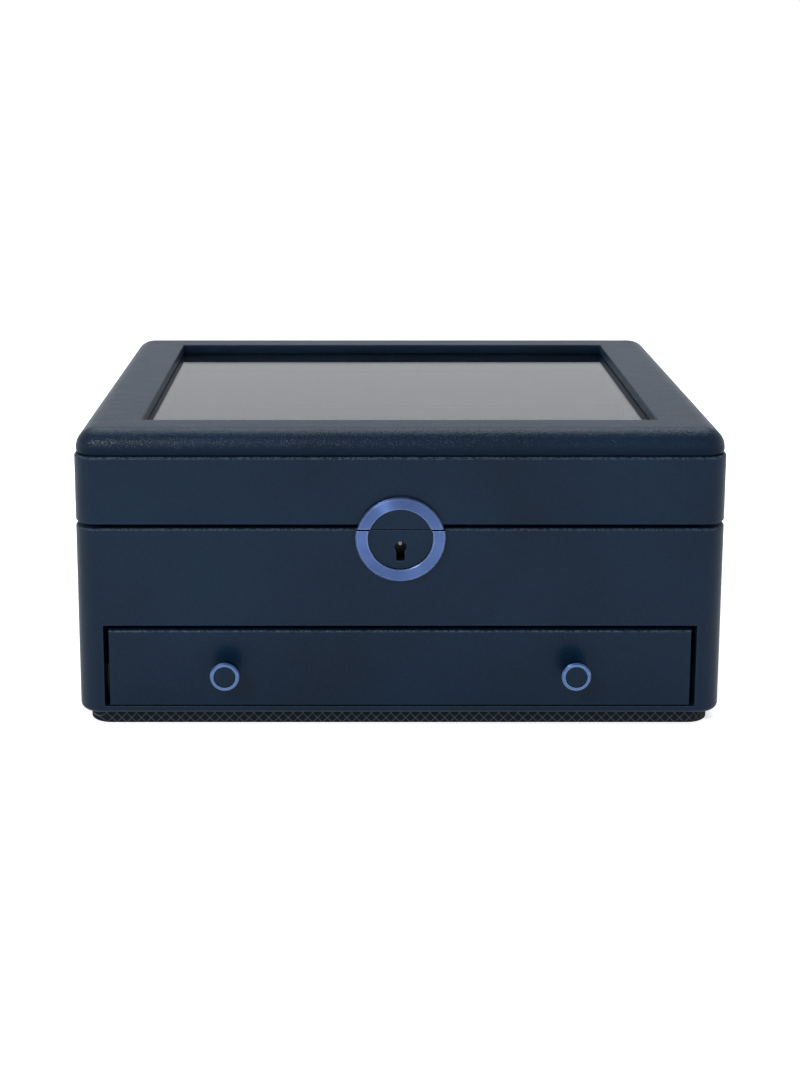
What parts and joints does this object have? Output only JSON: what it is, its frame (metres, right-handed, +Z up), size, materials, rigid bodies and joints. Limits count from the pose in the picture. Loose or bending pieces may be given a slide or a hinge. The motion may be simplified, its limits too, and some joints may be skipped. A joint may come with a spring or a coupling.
{
  "type": "watch box",
  "caption": "Leather covered watch box with a hinged glass lid over cushions in divided bays, a drawer with round knobs below, and a lock behind a split metal ring.",
  "frame": {"origin": "centre of the underside, on the surface that the box stands on", "axes": "+X to the right and +Y to the rear as seen from the front with the drawer, +Z up"},
  "size_m": [0.34, 0.2585, 0.16],
  "materials": {
    "navy_leather": "fine grained, satin",
    "plinth_cloth": "woven cover with a fine pale line pattern",
    "base_felt": "felt",
    "board": "plain fibre board",
    "dark_lining": "short dark velvet",
    "cushion_fabric": "short dark velvet over foam",
    "runner_plastic": "smooth",
    "blue_metal": "satin blue anodised",
    "steel": "nickel plated, satin",
    "clear_glass": "polished, clear"
  },
  "bodies": {
    "case": {"case_shell": "navy_leather", "lock_disc_lower": "navy_leather", "plinth": "plinth_cloth", "base_felt": "base_felt", "base_board": "board", "bay_floor": "board", "bay_lining": "dark_lining", "inner_lip": "dark_lining", "divider_long": "dark_lining", "divider_cross_1": "dark_lining", "divider_cross_2": "dark_lining", "divider_cross_3": "dark_lining", "divider_cross_4": "dark_lining", "cushion_front_1": "cushion_fabric", "cushion_front_2": "cushion_fabric", "cushion_front_3": "cushion_fabric", "cushion_front_4": "cushion_fabric", "cushion_front_5": "cushion_fabric", "cushion_rear_1": "cushion_fabric", "cushion_rear_2": "cushion_fabric", "cushion_rear_3": "cushion_fabric", "cushion_rear_4": "cushion_fabric", "cushion_rear_5": "cushion_fabric", "drawer_runner_left": "runner_plastic", "drawer_runner_right": "runner_plastic", "lock_ring_lower": "blue_metal", "lock_case": "steel", "lock_cover": "steel", "lock_post": "steel", "hinge_case_leaf_left": "steel", "hinge_case_leaf_right": "steel", "hinge_pins": "steel"},
    "lid": {"lid_band": "navy_leather", "lid_pad": "navy_leather", "window_trim": "navy_leather", "glass_pane": "clear_glass", "glass_frame": "dark_lining", "lid_lining": "dark_lining", "lock_ring_upper": "blue_metal", "lock_disc_upper": "navy_leather", "lock_strike": "steel", "hinge_lid_leaf_left": "steel", "hinge_lid_leaf_right": "steel"},
    "drawer": {"drawer_front": "navy_leather", "drawer_side_left": "dark_lining", "drawer_side_right": "dark_lining", "drawer_back": "dark_lining", "drawer_bottom": "board", "drawer_lining": "dark_lining", "knob_left": "blue_metal", "knob_right": "blue_metal", "knob_inlay_left": "navy_leather", "knob_inlay_right": "navy_leather", "knob_screws": "steel"},
    "lock_bolt": {"lock_bolt": "steel"}
  },
  "joints": [
    {"name": "lid_hinge", "type": "hinge", "parent": "case", "child": "lid", "pos_m": [0, 0.121, 0.10945], "axis": [-1, 0, 0], "range_deg": [0, 98]},
    {"name": "drawer_slide", "type": "slide", "parent": "case", "child": "drawer", "axis": [0, -1, 0], "range_m": [0, 0.16]},
    {"name": "lock_bolt_slide", "type": "slide", "parent": "case", "child": "lock_bolt", "axis": [1, 0, 0], "range_m": [0, 0.0036]}
  ]
}
